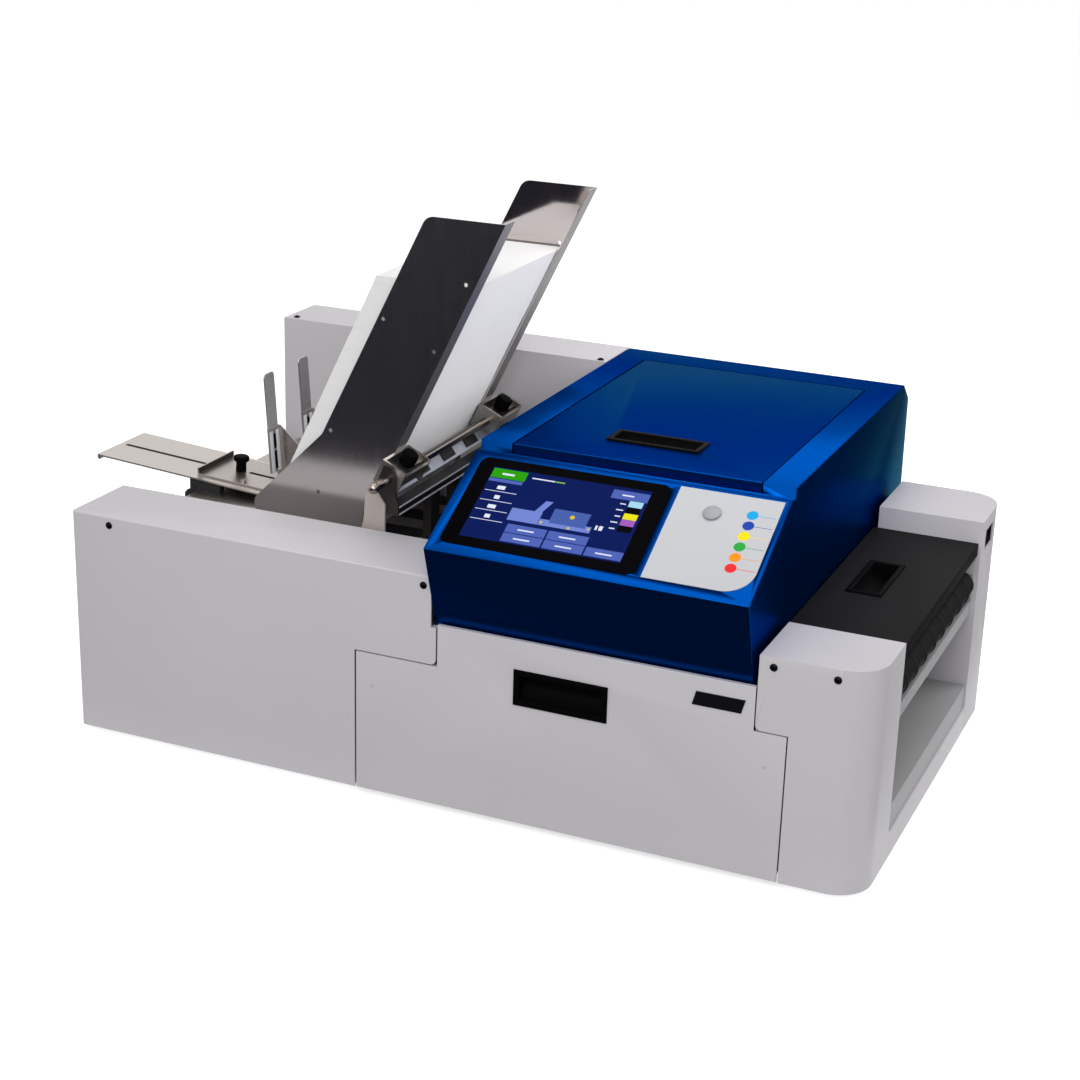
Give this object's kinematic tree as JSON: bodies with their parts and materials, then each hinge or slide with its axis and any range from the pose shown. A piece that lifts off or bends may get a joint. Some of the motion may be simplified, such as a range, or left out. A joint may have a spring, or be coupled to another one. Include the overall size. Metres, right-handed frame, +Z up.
{
  "type": "envelope printer",
  "caption": "Desktop inkjet printer for envelopes: leaning hopper and belt feed on the left, hinged head with a sloping touchscreen console, roller exit on the right.",
  "frame": {"origin": "under the middle of the whole object's plan, on the surface that the feet stand on", "axes": "+X along the front from the hopper to the exit, +Y from the front to the rear, +Z up"},
  "size_m": [1.0498, 0.6026, 0.615],
  "materials": {
    "cover_coat": "satin powder coat",
    "head_coat": "satin powder coat",
    "charcoal_coat": "satin powder coat",
    "liner_coat": "matt powder coat",
    "zinc_steel": "zinc plated",
    "stainless": "polished",
    "bright_steel": "bright",
    "black_screw": "black oxide",
    "black_coat": "matt black",
    "black_plastic": "fine grain",
    "tank_plastic": "smooth",
    "button_plastic": "gloss",
    "badge_plastic": "gloss",
    "key_film": "satin film",
    "screen_glass": "polished",
    "screen_body": "matt",
    "board": "solder mask",
    "black_rubber": "matt",
    "envelope_paper": "uncoated"
  },
  "bodies": {
    "chassis": {"front_left_cover": "cover_coat", "front_right_cover": "cover_coat", "rear_cover": "cover_coat", "rear_right_cover": "cover_coat", "rear_panel": "cover_coat", "left_end_panel": "cover_coat", "end_sill": "cover_coat", "head_housing": "head_coat", "bay_liner": "liner_coat", "exit_frame": "liner_coat", "feeder_frames": "liner_coat", "print_frame": "liner_coat", "gate_strip": "liner_coat", "base_pan": "zinc_steel", "power_supply": "zinc_steel", "feeder_table": "stainless", "media_tray": "stainless", "hinge_pins": "bright_steel", "guide_rod": "bright_steel", "cover_screws": "black_screw", "feed_deck": "black_coat", "separator_beam": "black_coat", "tray_bracket": "black_coat", "drive_motor": "black_coat", "power_inlet": "black_plastic", "printhead": "black_plastic", "ink_tanks": "tank_plastic", "membrane_panel": "key_film", "touchscreen_glass": "screen_glass", "display_panel": "screen_body", "main_board": "board", "rubber_feet": "black_rubber", "exit_belts": "black_rubber", "feed_belts": "black_rubber", "transport_belt": "black_rubber"},
    "lid": {"head_lid": "head_coat", "lid_grip": "black_plastic"},
    "door": {"front_door": "cover_coat", "door_grip": "black_plastic", "door_badge": "badge_plastic"},
    "exit_flap": {"exit_cover": "charcoal_coat", "exit_grip": "black_plastic"},
    "button": {"power_button": "button_plastic"},
    "rocker": {"power_switch": "black_plastic"},
    "exit_roll": {"exit_roller": "black_rubber"},
    "exit_drive": {"exit_drive_roller": "black_rubber"},
    "feed_drive": {"feed_roller": "black_rubber"},
    "feed_return": {"feed_idler": "black_rubber"},
    "transport_drive": {"transport_roller": "black_rubber"},
    "transport_return": {"transport_idler": "black_rubber"},
    "guide_front": {"front_guide": "stainless", "front_clamp": "stainless"},
    "guide_front_knob": {"front_clamp_knob": "black_plastic"},
    "guide_rear": {"rear_guide": "stainless", "rear_clamp": "stainless"},
    "guide_rear_knob": {"rear_clamp_knob": "black_plastic"},
    "carriage": {"tray_carriage": "zinc_steel", "support_fingers": "stainless"},
    "carriage_screw": {"carriage_knob": "black_plastic"},
    "stack": {"envelope_stack": "envelope_paper"}
  },
  "joints": [
    {"name": "lid_hinge", "type": "hinge", "parent": "chassis", "child": "lid", "pos_m": [0.221, 0.2203, 0.3855], "axis": [-1, 0, 0], "range_deg": [0, 100]},
    {"name": "door_hinge", "type": "hinge", "parent": "chassis", "child": "door", "pos_m": [0.195, -0.2727, 0.014], "axis": [1, 0, 0], "range_deg": [0, 85]},
    {"name": "exit_flap_hinge", "type": "hinge", "parent": "chassis", "child": "exit_flap", "pos_m": [0.408, -0.0062, 0.241], "axis": [0, -1, 0], "range_deg": [0, 80]},
    {"name": "button_press", "type": "slide", "parent": "chassis", "child": "button", "axis": [0, 0.4924, -0.8703], "range_m": [0, 0.002], "stiffness_N_per_m": 500},
    {"name": "rocker_tilt", "type": "hinge", "parent": "chassis", "child": "rocker", "pos_m": [0.163, 0.2723, 0.056], "axis": [-1, 0, 0], "range_deg": [0, 16]},
    {"name": "exit_roll_spin", "type": "hinge", "parent": "chassis", "child": "exit_roll", "pos_m": [0.506, -0.0062, 0.194], "axis": [0, 1, 0], "continuous": true},
    {"name": "exit_drive_spin", "type": "hinge", "parent": "chassis", "child": "exit_drive", "pos_m": [0.425, -0.0062, 0.194], "axis": [0, 1, 0], "continuous": true},
    {"name": "feed_drive_spin", "type": "hinge", "parent": "chassis", "child": "feed_drive", "pos_m": [-0.085, -0.0057, 0.211], "axis": [0, 1, 0], "continuous": true},
    {"name": "feed_return_spin", "type": "hinge", "parent": "chassis", "child": "feed_return", "pos_m": [-0.235, -0.0057, 0.211], "axis": [0, 1, 0], "continuous": true},
    {"name": "transport_drive_spin", "type": "hinge", "parent": "chassis", "child": "transport_drive", "pos_m": [0.37, -0.0057, 0.209], "axis": [0, 1, 0], "continuous": true},
    {"name": "transport_return_spin", "type": "hinge", "parent": "chassis", "child": "transport_return", "pos_m": [0.07, -0.0057, 0.209], "axis": [0, 1, 0], "continuous": true},
    {"name": "guide_front_slide", "type": "slide", "parent": "chassis", "child": "guide_front", "axis": [0, 1, 0], "range_m": [0, 0.005]},
    {"name": "guide_front_knob_turn", "type": "hinge", "parent": "guide_front", "child": "guide_front_knob", "pos_m": [-0.066, -0.1312, 0.326], "axis": [0.454, 0, 0.891], "range_deg": [0, 270]},
    {"name": "guide_rear_slide", "type": "slide", "parent": "chassis", "child": "guide_rear", "axis": [0, -1, 0], "range_m": [0, 0.005]},
    {"name": "guide_rear_knob_turn", "type": "hinge", "parent": "guide_rear", "child": "guide_rear_knob", "pos_m": [-0.066, 0.1198, 0.326], "axis": [0.454, 0, 0.891], "range_deg": [0, 270]},
    {"name": "carriage_slide", "type": "slide", "parent": "chassis", "child": "carriage", "axis": [-0.9979, 0, 0.0654], "range_m": [0, 0.1]},
    {"name": "carriage_screw_turn", "type": "hinge", "parent": "carriage", "child": "carriage_screw", "pos_m": [-0.35081, -0.0057, 0.24469], "axis": [0.0654, 0, 0.9979], "range_deg": [0, 270]},
    {"name": "stack_slide", "type": "slide", "parent": "chassis", "child": "stack", "axis": [0.4305, 0, 0.9026], "range_m": [0, 0.06]}
  ],
  "couplings": [
    {"joint": "exit_drive_spin", "follows": "exit_roll_spin", "ratio": 1},
    {"joint": "feed_drive_spin", "follows": "exit_roll_spin", "ratio": 1},
    {"joint": "feed_return_spin", "follows": "exit_roll_spin", "ratio": 1},
    {"joint": "transport_drive_spin", "follows": "exit_roll_spin", "ratio": 1},
    {"joint": "transport_return_spin", "follows": "exit_roll_spin", "ratio": 1}
  ]
}
